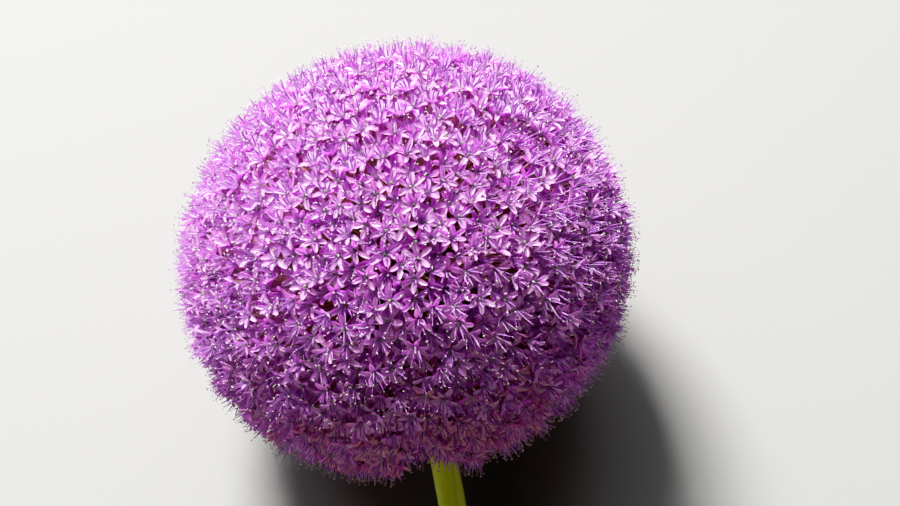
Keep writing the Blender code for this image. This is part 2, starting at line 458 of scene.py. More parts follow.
def petal_midribs(length, rise, cup, curl):
    """Each petal's midrib (petals, rows, 3), in the plane of x and z, and the normals along it."""
    def slope(along):
        return rise + cup * (1 - along) ** CUP_POWER - curl * along ** 2

    along = PETAL_ALONG[None]
    step = np.diff(along) * length
    middle_slope = slope(halfway(along))
    outwards = THROAT + steps_summed(step * np.cos(middle_slope))
    height = steps_summed(step * np.sin(middle_slope))
    angle = slope(along)
    line = np.stack((outwards, 0 * outwards, height), axis=-1)
    normal = np.stack((-np.sin(angle), 0 * angle, np.cos(angle)), axis=-1)
    return line, normal


def petal_skins(line, side_way, normal, half):
    """Each petal's points round its midrib: every row with its point underneath, and then the tip."""
    body = slice(0, PETAL_ROWS)
    shape = petal_width(PETAL_ALONG)
    width = (half * shape)[:, body]
    across = PETAL_ACROSS[:, None]
    boat = (BOAT_AT_ROOT + BOAT_GAIN * PETAL_ALONG[body])[:, None, None]
    lift = boat * across ** 2 - KEEL_DEPTH * np.exp(-((across / KEEL_WIDTH) ** 2))
    offset = across * side_way[:, body, None] + lift * normal[:, body, None]
    top = line[:, body, None] + width[..., None, None] * offset
    thick = PETAL_THICKNESS * (EDGE_THICKNESS + (1 - EDGE_THICKNESS) * shape[body])
    below = line[:, body] - (thick + KEEL_DEPTH * width)[..., None] * normal[:, body]
    rows = np.concatenate((top, below[:, :, None]), axis=2).reshape(len(line), -1, 3)
    tip = line[:, -1:] + TIP_LIFT * normal[:, -1:]
    return np.concatenate((rows, tip), axis=1)


def petal_points(florets, owner, number, draw):
    """The points of every petal (petals, points, 3), each along x of its floret's frame."""
    length, half = petal_sizes(florets, owner, number, draw)
    rise, cup, curl, twist = petal_bends(florets["shut"][owner][:, None], draw)
    line, normal = petal_midribs(length, rise, cup, curl)
    turn = twist * PETAL_ALONG
    cos, sin = np.cos(turn)[..., None], np.sin(turn)[..., None]
    level = np.array((0.0, 1.0, 0.0))
    return petal_skins(line, cos * level + sin * normal, cos * normal - sin * level, half)


def petal_places(tones):
    """Each petal point's place on the map."""
    row = np.append(PETAL_ACROSS, 0.0)
    across = np.append(np.tile(row, PETAL_ROWS), 0.0)
    along = np.append(np.repeat(PETAL_ALONG[:PETAL_ROWS], len(row)), 1.0)
    return band_places(tones[:, None], across[None], along[None])


def make_petals(florets, draw, material):
    """All petals, in three pieces from the crown down to the stem."""
    quads, tris, stride = petal_template()
    owner, number, angle = six_each()
    points = petal_points(florets, owner, number, draw)
    angle = angle + draw.normal(0, PETAL_TURN_NOISE, len(owner))
    points = onto_head(florets, turned(points, angle), owner)
    places = petal_places(florets["tone"][owner])
    order = np.argsort(-florets["direction"][owner, 2], kind="stable")
    names = ("petals_crown", "petals_girdle", "petals_base")
    for name, part in zip(names, np.array_split(order, len(names))):
        faces = [repeated(quads, len(part), stride), repeated(tris, len(part), stride)]
        make_head_piece(name, points[part], faces, places[part], material)


# ---------------------------------------------------------------- round parts along a line

# A line steeper than this needs a helper that isn't upright, to find a way across it
STEEP = 0.8


def tube_template(rings, sides):
    """Faces of a closed tube: rings of points, one after another, capped at both ends."""
    quads = []
    for i in range(rings - 1):
        for j in range(sides):
            a, b = i * sides + j, i * sides + (j + 1) % sides
            quads.append((a, b, b + sides, a + sides))
    start = np.array([range(sides)])[:, ::-1]
    end = start[:, ::-1] + (rings - 1) * sides
    return np.array(quads), np.concatenate((start, end))


def tube_points(lines, radius, sides):
    """Points of tubes round lines (count, rings, 3), with a radius for each ring."""
    tangent = unit(np.gradient(lines, axis=1))
    helper = np.where(np.abs(tangent[..., 2:]) < STEEP, (0.0, 0.0, 1.0), (1.0, 0.0, 0.0))
    first = unit(np.cross(tangent, helper))
    second = np.cross(tangent, first)
    angle = round_angles(sides)[:, None]
    ring = first[:, :, None] * np.cos(angle) + second[:, :, None] * np.sin(angle)
    return lines[:, :, None] + radius[:, None, None] * ring


def tube_places(tones, along, sides):
    """Each tube point's place on the map."""
    around = np.linspace(-1, 1, sides)
    return band_places(tones[:, None, None], around[None, None], along[None, :, None])


def make_tubes(name, points, rings, sides, tones, material):
    """A piece of capped tubes, one to each floret, from the points of their rings."""
    faces = [repeated(part, FLORETS, rings * sides) for part in tube_template(rings, sides)]
    places = tube_places(tones, np.linspace(0, 1, rings), sides)
    make_head_piece(name, points, faces, places, material)


# ---------------------------------------------------------------- stamens

FILAMENT_LENGTH_RANGE = (0.9, 1.08)
FILAMENT_ROOT = 0.00037
FILAMENT_TIP = 0.00016
FILAMENT_SIDES = 3
FILAMENT_ALONG = np.array((0.0, 0.5, 1.0))
FILAMENT_OUT = 0.00055
FILAMENT_UP = 0.0002
FILAMENT_LEAN = math.radians(24)
FILAMENT_LEAN_RANGE = (0.65, 1.3)
FILAMENT_BEND = math.radians(-4)
FILAMENT_BEND_NOISE = math.radians(9)
FILAMENT_SWAY = 0.00035
FILAMENT_TURN_NOISE = math.radians(6)
SHUT_SHORTENING = 0.45
SHUT_STRAIGHTENING = 0.8
ANTHER_LENGTH = 0.00050
ANTHER_WIDTH = 0.00022
ANTHER_SIZE_RANGE = (0.85, 1.15)
ANTHER_RISE_RANGE = (-0.2, 0.9)

# Where an anther's points are on the map: the sides of its middle, and then its two ends
ANTHER_SIDES = 4
ANTHER_ACROSS = np.array((-1.0, -0.33, 0.33, 1.0, 0.0, 0.0))
ANTHER_ALONG = np.array((0.5, 0.5, 0.5, 0.5, 0.0, 1.0))


def filament_lines(florets, owner, draw):
    """Each filament's line in its floret's frame, before it is turned to its own side."""
    count = len(owner)
    shut = florets["shut"][owner]
    length = FILAMENT_LENGTH * draw.uniform(*FILAMENT_LENGTH_RANGE, count)
    length = length * (1 - SHUT_SHORTENING * shut)
    lean = FILAMENT_LEAN * (1 - SHUT_STRAIGHTENING * shut) * draw.uniform(*FILAMENT_LEAN_RANGE, count)
    bend = draw.normal(FILAMENT_BEND, FILAMENT_BEND_NOISE, count)
    along = FILAMENT_ALONG[None]
    angle = lean[:, None] + bend[:, None] * (halfway(along) - 0.5) * 2
    step = length[:, None] * np.diff(along)
    x = FILAMENT_OUT + steps_summed(step * np.sin(angle))
    z = FILAMENT_UP + steps_summed(step * np.cos(angle))
    sway = draw.normal(0, FILAMENT_SWAY, count)[:, None] * along ** 2
    return np.stack((x, sway, z), axis=-1)


def make_stamens(florets, draw, filament, anther):
    """Six stamens to each floret, each a filament with an anther on its tip."""
    owner, _, angle = six_each()
    angle = angle + draw.normal(0, FILAMENT_TURN_NOISE, len(owner))
    lines = onto_head(florets, turned(filament_lines(florets, owner, draw), angle), owner)
    make_filaments(lines, draw, filament)
    make_anthers(lines, draw, anther)


def make_filaments(lines, draw, material):
    """A pointed stalk along each line: its rings of points, and then the line's own end."""
    count = len(lines)
    sides = FILAMENT_SIDES
    tones = draw.integers(0, TONES, count)
    radius = FILAMENT_ROOT + (FILAMENT_TIP - FILAMENT_ROOT) * FILAMENT_ALONG
    rings = tube_points(lines, radius, sides)[:, :-1].reshape(count, -1, 3)
    points = np.concatenate((rings, lines[:, -1:]), axis=1)
    tip = rings.shape[1]
    last = tip - sides
    quads, caps = tube_template(len(FILAMENT_ALONG) - 1, sides)
    point = [(last + j, last + (j + 1) % sides, tip) for j in range(sides)]
    tris = np.array([caps[0], *point])
    faces = [repeated(quads, count, tip + 1), repeated(tris, count, tip + 1)]
    places = tube_places(tones, FILAMENT_ALONG, sides).reshape(count, -1, 2)[:, :tip + 1]
    make_head_piece("filaments", points, faces, places, material)


def make_anthers(lines, draw, material):
    """A small two-ended pod on each filament's tip, hung from its middle."""
    count = len(lines)
    sides = ANTHER_SIDES
    tip = lines[:, -1]
    out = unit(lines[:, -1] - lines[:, -2])
    level = any_way_across(out, draw)
    pod = unit(level + draw.uniform(*ANTHER_RISE_RANGE, count)[:, None] * out)
    first = unit(np.cross(pod, out))
    second = np.cross(pod, first)
    size = draw.uniform(*ANTHER_SIZE_RANGE, count)[:, None, None]
    angle = round_angles(sides)[:, None]
    ring = first[:, None] * np.cos(angle) + second[:, None] * np.sin(angle)
    girdle = tip[:, None] + size * ANTHER_WIDTH * ring
    ends = [tip[:, None] + size * end * ANTHER_LENGTH * pod[:, None] for end in (-1, 1)]
    points = np.concatenate((girdle, *ends), axis=1)
    lower = [((j + 1) % sides, j, sides) for j in range(sides)]
    upper = [(j, (j + 1) % sides, sides + 1) for j in range(sides)]
    faces = [repeated(np.array(lower + upper), count, points.shape[1])]
    tones = draw.integers(0, TONES, count)
    places = band_places(tones[:, None], ANTHER_ACROSS[None], ANTHER_ALONG[None])
    make_head_piece("anthers", points, faces, places, material)


# ---------------------------------------------------------------- ovaries and styles

OVARY_HEIGHT = 0.00135
OVARY_RADIUS = 0.00088
OVARY_RING_HEIGHTS = np.array((-0.28, 0.42, 1.0)) * OVARY_HEIGHT
OVARY_RING_RADII = np.array((0.62, 1.0, 0.34)) * OVARY_RADIUS
OVARY_SIDES = 6
OVARY_LOBES = 3
LOBE_DEPTH = 0.16
STYLE_FOOT = 0.9 * OVARY_HEIGHT
STYLE_LENGTH = 0.0030
STYLE_LENGTH_RANGE = (0.6, 1.15)
STYLE_LEAN = 0.00025
STYLE_ROOT = 0.00013
STYLE_TAPER = 0.00005
STYLE_SIDES = 3


def make_ovaries(florets, draw, material):
    """The three-lobed ovary of each floret."""
    angle = round_angles(OVARY_SIDES)
    lobes = 1 + LOBE_DEPTH * np.cos(OVARY_LOBES * angle)
    x = OVARY_RING_RADII[:, None] * lobes * np.cos(angle)
    y = OVARY_RING_RADII[:, None] * lobes * np.sin(angle)
    z = OVARY_RING_HEIGHTS[:, None] + 0 * x
    body = np.stack((x, y, z), axis=-1).reshape(1, -1, 3) * florets["size"][:, None, None]
    body = turned(body, draw.uniform(0, 2 * math.pi, FLORETS))
    points = onto_head(florets, body, np.arange(FLORETS))
    tones = draw.integers(0, TONES, FLORETS)
    rings = len(OVARY_RING_HEIGHTS)
    make_tubes("ovaries", points, rings, OVARY_SIDES, tones, material)


def make_styles(florets, draw, material):
    """A thin style on each ovary."""
    along = np.linspace(0, 1, 2)
    lean = draw.normal(0, STYLE_LEAN, (FLORETS, 2))
    length = STYLE_LENGTH * draw.uniform(*STYLE_LENGTH_RANGE, FLORETS)
    z = STYLE_FOOT + length[:, None] * along[None]
    xy = lean[:, None] * (along ** 2)[None, :, None]
    local = np.concatenate((xy, z[..., None]), axis=-1)
    lines = onto_head(florets, local, np.arange(FLORETS))
    points = tube_points(lines, STYLE_ROOT - STYLE_TAPER * along, STYLE_SIDES)
    tones = draw.integers(0, TONES, FLORETS)
    make_tubes("styles", points, len(along), STYLE_SIDES, tones, material)


# ---------------------------------------------------------------- pedicels and knob

# A pedicel's curve. Its root is inside the knob, its end is just behind the throat, and the
# handles that bend it are shares of its span.
PEDICEL_ROOT_IN_KNOB = 0.9
PEDICEL_BEHIND_THROAT = 0.0003
PEDICEL_ROOT_HANDLE = 0.4
PEDICEL_END_HANDLE = 0.3
PEDICEL_WANDER = 0.03
PEDICEL_RADIUS = 0.00040
PEDICEL_WAIST = 0.15
PEDICEL_FLARE = 0.35
PEDICEL_FLARE_POWER = 8
PEDICEL_RINGS = 4
PEDICEL_SIDES = 3

# The bare side of the head, where half of the pedicels are brown
BARE_WAY = (0.1, -0.9, 0.38)
BARE_WITHIN = math.radians(33)

# The knob: a ball a little lower than it is wide, with low bumps. Its end rings are off the poles.
KNOB_RINGS = 14
KNOB_SIDES = 28
KNOB_OFF_POLE = 0.02
KNOB_HEIGHT_SHARE = 0.9
KNOB_BUMP_DEPTH = 0.03
KNOB_BUMPS_ROUND = 9
KNOB_BUMPS_ALONG = 7


def pedicel_lines(florets, draw):
    """A curve from the knob in the middle of the head to each floret, met from behind."""
    root = florets["direction"] * KNOB_RADIUS * PEDICEL_ROOT_IN_KNOB
    end = florets["at"] - florets["facing"] * PEDICEL_BEHIND_THROAT
    span = np.linalg.norm(end - root, axis=1, keepdims=True)
    wander = draw.normal(0, PEDICEL_WANDER, (FLORETS, 3)) * span
    first = root + florets["direction"] * span * PEDICEL_ROOT_HANDLE + wander
    second = end - florets["facing"] * span * PEDICEL_END_HANDLE
    t = np.linspace(0, 1, PEDICEL_RINGS)[None, :, None]
    return (
        (1 - t) ** 3 * root[:, None] + 3 * (1 - t) ** 2 * t * first[:, None]
        + 3 * (1 - t) * t ** 2 * second[:, None] + t ** 3 * end[:, None]
    )


def make_pedicels(florets, draw, material):
    """Each floret's stalk, a little waisted, that widens where it meets the floret."""
    lines = pedicel_lines(florets, draw)
    along = np.linspace(0, 1, PEDICEL_RINGS)
    waist = PEDICEL_WAIST * np.sin(math.pi * along)
    radius = PEDICEL_RADIUS * (1 - waist + PEDICEL_FLARE * along ** PEDICEL_FLARE_POWER)
    points = tube_points(lines, radius, PEDICEL_SIDES)
    bare = florets["direction"] @ unit(np.array(BARE_WAY)) > math.cos(BARE_WITHIN)
    if_bare = draw.integers(0, 2 * BROWN_TONES, FLORETS)
    tones = np.where(bare, if_bare, draw.integers(0, TONES, FLORETS))
    make_tubes("pedicels", points, PEDICEL_RINGS, PEDICEL_SIDES, tones, material)


def make_knob(material):
    """The swollen top of the stem that the pedicels grow from."""
    along = np.linspace(0, 1, KNOB_RINGS)
    polar = math.pi * (KNOB_OFF_POLE + (1 - 2 * KNOB_OFF_POLE) * along)[:, None]
    angle = round_angles(KNOB_SIDES)[None]
    bumps = 1 + KNOB_BUMP_DEPTH * np.cos(KNOB_BUMPS_ROUND * angle) * np.sin(KNOB_BUMPS_ALONG * polar)
    x = KNOB_RADIUS * np.sin(polar) * np.cos(angle) * bumps
    y = KNOB_RADIUS * np.sin(polar) * np.sin(angle) * bumps
    z = -KNOB_RADIUS * KNOB_HEIGHT_SHARE * np.cos(polar) * bumps
    points = np.stack((x, y, z), axis=-1).reshape(-1, 3)
    faces = tube_template(KNOB_RINGS, KNOB_SIDES)
    places = full_places(along, KNOB_SIDES)
    make_piece("receptacle", points, faces, places, material, "flower_head")


# ---------------------------------------------------------------- stem

STEM_RINGS = 60
STEM_SIDES = 72
RIBS = 11
RIB_DEPTH = 0.012
WAVE_DEPTH = 0.004
WAVE_RATE = 9
WAVE_START = 1

# The cut's rings from its middle out: a share of the stem's radius, and how far it has sunk
CUT_RINGS = ((0.20, 0.0021), (0.30, 0.0009), (0.55, 0.0004), (0.85, 0.0001), (0.965, 0.0))

# How far up the stem's map the cut goes, where the wall starts, and where the cut's colours end
CUT_ON_MAP = 0.12
WALL_ON_MAP = 0.14
CUT_COLOUR_END = 0.125


def stem_wall():
    """The wall's points (rings, sides, 3), faintly ribbed and waved, from the cut up."""
    length = stem_length()
    along = np.linspace(0, 1, STEM_RINGS)[:, None]
    angle = round_angles(STEM_SIDES)
    ribs = 1 - RIB_DEPTH * (0.5 + 0.5 * np.cos(RIBS * angle))[None]
    ribs = ribs - WAVE_DEPTH * np.cos(WAVE_RATE * along + WAVE_START) ** 2
    radius = STEM_RADIUS_CUT + (STEM_RADIUS_TOP - STEM_RADIUS_CUT) * along
    x = radius * ribs * np.cos(angle)
    y = radius * ribs * np.sin(angle)
    z = -length + (length - STEM_TOP) * along + 0 * x
    return np.stack((x, y, z), axis=-1)


def make_stem(material):
    """The scape, with a clean cut whose soft pith has sunk a little."""
    wall = stem_wall()
    cut = [wall[0] * (share, share, 1) + (0, 0, depth) for share, depth in CUT_RINGS]
    points = np.concatenate((np.stack(cut), wall)).reshape(-1, 3)
    faces = tube_template(len(cut) + STEM_RINGS, STEM_SIDES)
    cut_along = np.linspace(0, CUT_ON_MAP, len(cut))
    wall_along = WALL_ON_MAP + (1 - WALL_ON_MAP) * np.linspace(0, 1, STEM_RINGS)
    places = full_places(np.concatenate((cut_along, wall_along)), STEM_SIDES)
    make_piece("scape", points, faces, places, material, "stem")


# ---------------------------------------------------------------- materials

# How strongly marks and odd tones show. A petal's streaks differ by its across, along and tone.
RIB_NARROWNESS = 5.5
RIB_SHARE = 0.8
# A petal's deeper edges are painted shade
EDGE_SHADE_POWER = 2.5
EDGE_SHADE_SHARE = 0.6
STREAK_STRETCH = (5.0, 1.2, 3.7)
STREAK_SHARE = 0.8
SHADE_BROWN_SHARE = 0.75
BROWN_SHARE = 0.85

RIB_VIOLET = (0.34, 0.06, 0.44, 1)
# Painted shade on a petal's edges
EDGE_SHADE_VIOLET = (0.68, 0.33, 0.76, 1)
# Browner near the stem: painted shade
SHADE_BROWN_STRAW = (0.96, 0.94, 0.52, 1)
LIT_THROUGH = (0.93, 0.32, 0.95, 1)
ANTHER_GROOVE = (0.40, 0.30, 0.30, 1)
PEDICEL_BROWN = (0.50, 0.34, 0.18, 1)
STEM_YELLOW = (0.50, 0.44, 0.04, 1)


class Nodes:
    """A short way to write a material's nodes."""

    def __init__(self, name):
        self.material = bpy.data.materials.new(name)
        self.material.use_nodes = True
        self.tree = self.material.node_tree
        self.shader = self.tree.nodes["Principled BSDF"]
        self.output = self.tree.nodes["Material Output"]

    def put(self, socket, value):
        """Links a socket to another node's, or sets its own value."""
        if isinstance(value, bpy.types.NodeSocket):
            self.tree.links.new(value, socket)
        else:
            socket.default_value = value

    def set(self, **values):
        """Sets the shader's own inputs, whose names have _ for each space."""
        for name, value in values.items():
            self.put(self.shader.inputs[name.replace("_", " ")], value)

    def add(self, kind, **inputs):
        """A new node with some inputs, whose names have _ for each space."""
        node = self.tree.nodes.new(kind)
        for name, value in inputs.items():
            self.put(node.inputs[name.replace("_", " ")], value)
        return node

    def math(self, operation, *values):
        node = self.tree.nodes.new("ShaderNodeMath")
        node.operation = operation
        for socket, value in zip(node.inputs, values):
            self.put(socket, value)
        return node.outputs[0]

    def mix(self, factor, a, b, blend="MIX"):
        """Two colours mixed. A mix node's colours are its inputs 6 and 7 and its output 2."""
        node = self.tree.nodes.new("ShaderNodeMix")
        node.data_type = "RGBA"
        node.blend_type = blend
        for i, value in ((0, factor), (6, a), (7, b)):
            self.put(node.inputs[i], value)
        return node.outputs[2]

    def multiply(self, a, b):
        return self.mix(1.0, a, b, "MULTIPLY")

    def ramp(self, value, stops):
        """A colour ramp from stops of (position, colour)."""
        node = self.tree.nodes.new("ShaderNodeValToRGB")
        self.put(node.inputs[0], value)
        elements = node.color_ramp.elements
        while len(elements) < len(stops):
            elements.new(0.5)
        for element, (position, colour) in zip(elements, stops):
            element.position = position
            element.color = (*colour, 1)
        return node.outputs[0]

    def noise(self, **inputs):
        return self.add("ShaderNodeTexNoise", **inputs).outputs[0]

    def draw(self, tone, salt):
        """A steady random number for each tone, and another set of them for each salt."""
        noise = self.tree.nodes.new("ShaderNodeTexWhiteNoise")
        noise.noise_dimensions = "1D"
        self.put(noise.inputs["W"], self.math("ADD", tone, salt))
        return noise.outputs["Value"]

    def map_place(self):
        """(u, v) on the piece's map."""
        place = self.add("ShaderNodeUVMap")
        place.uv_map = MAP_NAME
        split = self.add("ShaderNodeSeparateXYZ", Vector=place.outputs[0])
        return split.outputs[0], split.outputs[1]

    def within(self, v, margin):
        """How far up the map v is, from 0 to 1 between the margins."""
        return self.math("DIVIDE", self.math("SUBTRACT", v, margin), 1 - 2 * margin)

    def band(self):
        """(across -1 to 1, along 0 to 1, tone number) from the piece's map."""
        u, v = self.map_place()
        scaled = self.math("MULTIPLY", u, float(TONES))
        tone = self.math("FLOOR", scaled)
        from_middle = self.math("SUBTRACT", self.math("SUBTRACT", scaled, tone), 0.5)
        across = self.math("MULTIPLY", from_middle, 2 / BAND_FILL)
        return across, self.within(v, BAND_MARGIN), tone

    def round_place(self, stretch):
        """(a point on a stretched round body, along 0 to 1) from a map the piece has to itself."""
        u, v = self.map_place()
        turn = self.math("MULTIPLY", u, 2 * math.pi / (1 - 2 * FULL_MARGIN))
        along = self.within(v, FULL_MARGIN)
        x, y = self.math("COSINE", turn), self.math("SINE", turn)
        z = self.math("MULTIPLY", along, stretch)
        return self.add("ShaderNodeCombineXYZ", X=x, Y=y, Z=z).outputs[0], along

    def translucent(self, share, colour):
        """Lets light through, as a thin petal does."""
        through = self.add("ShaderNodeBsdfTranslucent", Color=colour)
        both = self.tree.nodes.new("ShaderNodeMixShader")
        both.inputs[0].default_value = share
        self.tree.links.new(self.shader.outputs[0], both.inputs[1])
        self.tree.links.new(through.outputs[0], both.inputs[2])
        self.tree.links.new(both.outputs[0], self.output.inputs["Surface"])


def petal_pattern(n, across, along, tone):
    """Pale lilac that deepens towards the tip, with a dark midrib, deeper edges and fine streaks. The
    pale middle is a painted highlight, the sheen of lit petals, and the deeper edges and tip are painted
    shade.
    """
    # Pale in the middle as a painted highlight, and deeper towards the tip as painted shade
    colour = n.ramp(along, (
        (0.0, (0.76, 0.70, 0.72)),
        (0.16, (0.90, 0.82, 0.90)),
        (0.50, (0.89, 0.76, 0.89)),
        (0.80, (0.86, 0.67, 0.87)),
        (1.0, (0.78, 0.51, 0.80)),
    ))
    off_rib = n.math("ABSOLUTE", across)
    rib = n.math("SUBTRACT", 1.0, n.math("MULTIPLY", off_rib, RIB_NARROWNESS))
    rib = n.math("MULTIPLY", n.math("MAXIMUM", rib, 0.0), RIB_SHARE)
    colour = n.mix(rib, colour, RIB_VIOLET)
    # Deeper edges: painted shade on the cupped rims
    edge = n.math("MULTIPLY", n.math("POWER", off_rib, EDGE_SHADE_POWER), EDGE_SHADE_SHARE)
    colour = n.mix(edge, colour, EDGE_SHADE_VIOLET)
    x, y, z = (n.math("MULTIPLY", *pair) for pair in zip((across, along, tone), STREAK_STRETCH))
    spot = n.add("ShaderNodeCombineXYZ", X=x, Y=y, Z=z)
    veins = n.noise(Vector=spot.outputs[0], Scale=1.0, Detail=2.0)
    streak = n.ramp(veins, ((0.35, (0.82, 0.78, 0.84)), (0.62, (1.0, 1.0, 1.0))))
    return n.mix(STREAK_SHARE, colour, streak, "MULTIPLY")


def petal_tone(n, colour, tone):
    """A petal's colour in its floret's tone: warmer or cooler, paler or richer, and browner near the
    stem. Paler and richer are partly painted light and shade by depth, and browner is painted shade.
    """
    warmth = n.ramp(n.draw(tone, salt=0.3), ((0.0, (0.97, 0.92, 1.04)), (1.0, (1.06, 0.98, 0.97))))
    colour = n.multiply(colour, warmth)
    # Browner near the stem: painted shade and warm bounce light of the head's shaded side
    shade_brown = n.math("MULTIPLY", n.math("GREATER_THAN", tone, PLAIN_TONES - 0.5), SHADE_BROWN_SHARE)
    colour = n.mix(shade_brown, colour, n.multiply(colour, SHADE_BROWN_STRAW))
    # Paler for front florets and darker for deep ones: painted light and shade by depth, mixed with
    # random richness
    richness_and_shade = n.ramp(n.math("DIVIDE", tone, float(PLAIN_TONES)), (
        (0.0, (1.04, 1.09, 1.03)),
        (0.5, (0.98, 0.90, 0.98)),
        (0.95, (0.90, 0.52, 0.90)),
        (1.0, (0.98, 0.90, 0.95)),
    ))
    return n.multiply(colour, richness_and_shade)


def petal_material():
    """A satin petal that glows pink where light comes through it."""
    n = Nodes("petal")
    across, along, tone = n.band()
    colour = petal_tone(n, petal_pattern(n, across, along, tone), tone)
    n.set(Base_Color=colour, Roughness=0.38, Sheen_Weight=0.12, Sheen_Roughness=0.4)
    n.set(Specular_IOR_Level=0.45)
    n.translucent(0.60, n.mix(0.65, colour, LIT_THROUGH))
    return n.material


def filament_material():
    """Violet, and paler at the root and the tip."""
    n = Nodes("filament")
    _, along, tone = n.band()
    colour = n.ramp(along, (
        (0.0, (0.76, 0.58, 0.78)),
        (0.25, (0.60, 0.33, 0.68)),
        (0.55, (0.48, 0.17, 0.60)),
        (1.0, (0.60, 0.30, 0.70)),
    ))
    shade = n.ramp(n.draw(tone, salt=1.7), ((0.0, (0.78, 0.74, 0.86)), (1.0, (1.05, 1.0, 1.0))))
    n.set(Base_Color=n.multiply(colour, shade), Roughness=0.34)
    n.translucent(0.34, colour)
    return n.material


def anther_material():
    """Dull mauve to cream, and browner along the middle."""
    n = Nodes("anther")
    across, _, tone = n.band()
    colour = n.ramp(n.draw(tone, salt=4.2), (
        (0.0, (0.30, 0.18, 0.34)),
        (0.4, (0.38, 0.26, 0.38)),
        (0.7, (0.43, 0.35, 0.37)),
        (1.0, (0.50, 0.45, 0.38)),
    ))
    groove = n.math("POWER", n.math("SUBTRACT", 1.0, n.math("ABSOLUTE", across)), 3.0)
    colour = n.mix(n.math("MULTIPLY", groove, 0.5), colour, ANTHER_GROOVE)
    n.set(Base_Color=colour, Roughness=0.7)
    return n.material


def ovary_material():
    """Grey green, and paler towards the style."""
    n = Nodes("ovary")
    _, along, tone = n.band()
    colour = n.ramp(along, (
        (0.0, (0.14, 0.17, 0.08)),
        (0.5, (0.20, 0.24, 0.14)),
        (1.0, (0.24, 0.24, 0.20)),
    ))
    shade = n.ramp(n.draw(tone, salt=2.9), ((0.0, (0.80, 0.84, 0.80)), (1.0, (1.05, 1.0, 1.05))))
    n.set(Base_Color=n.multiply(colour, shade), Roughness=0.4)
    return n.material


def pedicel_material():
    """Green at the knob, reddish and then violet towards the floret, or brown in the first tones."""
    n = Nodes("pedicel")
    _, along, tone = n.band()
    colour = n.ramp(along, (
        (0.0, (0.30, 0.36, 0.10)),
        (0.45, (0.36, 0.24, 0.13)),
        (0.64, (0.44, 0.16, 0.30)),
        (0.80, (0.56, 0.20, 0.54)),
        (1.0, (0.66, 0.28, 0.66)),
    ))
    brown = n.math("MULTIPLY", n.math("LESS_THAN", tone, BROWN_TONES - 0.5), BROWN_SHARE)
    colour = n.mix(brown, colour, PEDICEL_BROWN)
    shade = n.ramp(n.draw(tone, salt=5.5), ((0.0, (0.70, 0.80, 0.70)), (1.0, (1.15, 1.0, 1.0))))
    n.set(Base_Color=n.multiply(colour, shade), Roughness=0.5)
    return n.material


def knob_material():
    """Mottled green."""
    n = Nodes("receptacle")
    spot, _ = n.round_place(stretch=3.0)
    mottle = n.noise(Vector=spot, Scale=4.0, Detail=3.0)
    colour = n.ramp(mottle, ((0.3, (0.16, 0.20, 0.07)), (0.7, (0.30, 0.34, 0.14))))
    n.set(Base_Color=colour, Roughness=0.6)
    return n.material


def stem_material():
    """Olive skin with fine streaks along it, and the cut's green rim and pale pith."""
    n = Nodes("stem_skin")
    spot, along = n.round_place(stretch=0.55)
    fine = n.noise(Vector=spot, Scale=16.0, Detail=4.0)
    broad = n.noise(Vector=spot, Scale=3.0, Detail=3.0)
    skin = n.ramp(fine, (
        (0.30, (0.36, 0.45, 0.030)),
        (0.52, (0.47, 0.56, 0.040)),
        (0.75, (0.58, 0.64, 0.052)),
    ))
    skin = n.mix(n.math("MULTIPLY", broad, 0.25), skin, STEM_YELLOW)
    cut = n.ramp(along, (
        (0.0, (0.36, 0.36, 0.20)),
        (0.035, (0.62, 0.64, 0.42)),
        (0.085, (0.52, 0.58, 0.30)),
        (0.115, (0.26, 0.32, 0.08)),
        (0.13, (0.22, 0.27, 0.06)),
    ))
    colour = n.mix(n.math("LESS_THAN", along, CUT_COLOUR_END), skin, cut)
    bump = n.add("ShaderNodeBump", Height=fine, Strength=0.25, Distance=0.0002)
    n.set(Base_Color=colour, Roughness=0.42, Specular_IOR_Level=0.3, Normal=bump.outputs[0])
    return n.material


def floor_material():
    """A pale floor. Far from the flower it fades into the faint glow of the backdrop."""
    n = Nodes("pale_floor")
    grain = n.noise(Scale=9.0, Detail=3.0)
    colour = n.ramp(grain, ((0.3, (0.172, 0.172, 0.170)), (0.7, (0.182, 0.182, 0.178))))
    place = n.add("ShaderNodeNewGeometry")
    away = n.add("ShaderNodeVectorMath", Vector=place.outputs["Position"])
    away.operation = "LENGTH"
    glow = n.add("ShaderNodeMapRange", Value=away.outputs["Value"], To_Max=GLOW)
    glow.interpolation_type = "SMOOTHSTEP"
    n.put(glow.inputs["From Min"], GLOW_STARTS)
    n.put(glow.inputs["From Max"], GLOW_FULL)
    n.set(Base_Color=colour, Roughness=0.7)
    n.set(Emission_Color=(1, 1, 0.99, 1), Emission_Strength=glow.outputs[0])
    return n.material


# ---------------------------------------------------------------- stage, light and camera

CAMERA_LENS = 100
CAMERA_SENSOR = 36
CAMERA_DISTANCE = 0.806
CAMERA_ROLL = math.radians(10.8)
CAMERA_CLIP_START = 0.01
HEAD_LEFT_OF_CENTRE = 0.0142
HEAD_BELOW_CENTRE = 0.0026

FLOOR_HALF = 12.0

# The backdrop's glow is full in directions lower than GLOW_BELOW, and gives way to the ambient
# light in those higher than AMBIENT_ABOVE. The floor's starts and is full at these distances.
AMBIENT = 0.050
GLOW = 0.42
GLOW_BELOW = 0.02
AMBIENT_ABOVE = 0.14
GLOW_STARTS = 1.5
GLOW_FULL = 6.0

# The ways from the head to the lights. The first two are shares of across, crown and front, and
# the low fill's is in the table's frame.
KEY_WAY = (-0.14, 0.91, 0.39)
SKY_WAY = (-0.1, 0.93, 0.35)
LOW_FILL_WAY = (-0.25, -0.95, 0.18)

